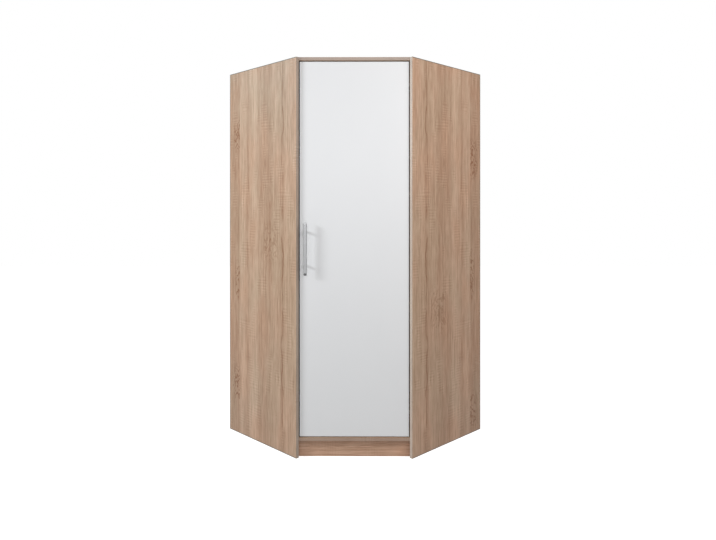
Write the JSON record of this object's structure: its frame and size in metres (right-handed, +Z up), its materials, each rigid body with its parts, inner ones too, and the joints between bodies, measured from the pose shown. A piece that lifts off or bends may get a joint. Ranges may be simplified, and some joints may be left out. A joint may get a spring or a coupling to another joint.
{
  "type": "corner wardrobe",
  "caption": "Five-sided corner wardrobe on a plinth, with oak-effect sides, a plain white inset door across the corner, a bar handle, a hat shelf and a hanging rail.",
  "frame": {"origin": "on the floor, at the middle of the whole wardrobe's box in plan", "axes": "+Z up; -Y the way the door faces; +Y towards the room corner; +X to the right seen from the front"},
  "size_m": [1.3436, 1.0862, 1.9],
  "materials": {
    "oak_laminate": "oak-effect laminated chipboard, matte, vertical grain on the sides and horizontal on the plinth",
    "white_front": "smooth white faced chipboard, satin",
    "back_board": "thin hardboard",
    "handle_metal": "satin silver",
    "hinge_steel": "nickel-plated pressed steel",
    "rail_chrome": "chromed steel tube",
    "white_plastic": "off-white moulded plastic"
  },
  "bodies": {
    "carcass": {"back_joiner_left": "white_plastic", "back_joiner_right": "white_plastic", "back_panel_left_inner": "back_board", "back_panel_left_outer": "back_board", "back_panel_right_inner": "back_board", "back_panel_right_outer": "back_board", "bottom_panel": "oak_laminate", "corner_post": "oak_laminate", "door_stop_bottom": "white_plastic", "door_stop_top": "white_plastic", "front_plinth": "oak_laminate", "hanging_rail": "rail_chrome", "hat_shelf": "oak_laminate", "hinge_arm_1": "hinge_steel", "hinge_arm_2": "hinge_steel", "hinge_arm_3": "hinge_steel", "hinge_arm_4": "hinge_steel", "hinge_plate_1": "hinge_steel", "hinge_plate_2": "hinge_steel", "hinge_plate_3": "hinge_steel", "hinge_plate_4": "hinge_steel", "rail_end_cap_left": "white_plastic", "rail_end_cap_right": "white_plastic", "rail_hanger_centre": "hinge_steel", "rail_hanger_left": "hinge_steel", "rail_hanger_right": "hinge_steel", "rear_plinth_left": "oak_laminate", "rear_plinth_right": "oak_laminate", "shelf_peg_left_front": "hinge_steel", "shelf_peg_left_rear": "hinge_steel", "shelf_peg_right_front": "hinge_steel", "shelf_peg_right_rear": "hinge_steel", "side_panel_left": "oak_laminate", "side_panel_right": "oak_laminate", "top_panel": "oak_laminate", "wall_bracket_left": "hinge_steel", "wall_bracket_right": "hinge_steel"},
    "door": {"door_panel": "white_front", "handle_bar": "handle_metal", "handle_post_lower": "handle_metal", "handle_post_upper": "handle_metal", "handle_screw_lower": "hinge_steel", "handle_screw_upper": "hinge_steel", "hinge_cup_1": "hinge_steel", "hinge_cup_2": "hinge_steel", "hinge_cup_3": "hinge_steel", "hinge_cup_4": "hinge_steel", "hinge_pin_1": "hinge_steel", "hinge_pin_2": "hinge_steel", "hinge_pin_3": "hinge_steel", "hinge_pin_4": "hinge_steel"}
  },
  "joints": [
    {"name": "door_swing", "type": "hinge", "parent": "carcass", "child": "door", "pos_m": [0.23704, -0.48894, 0.99], "axis": [0, 0, 1], "range_deg": [0, 95]}
  ]
}
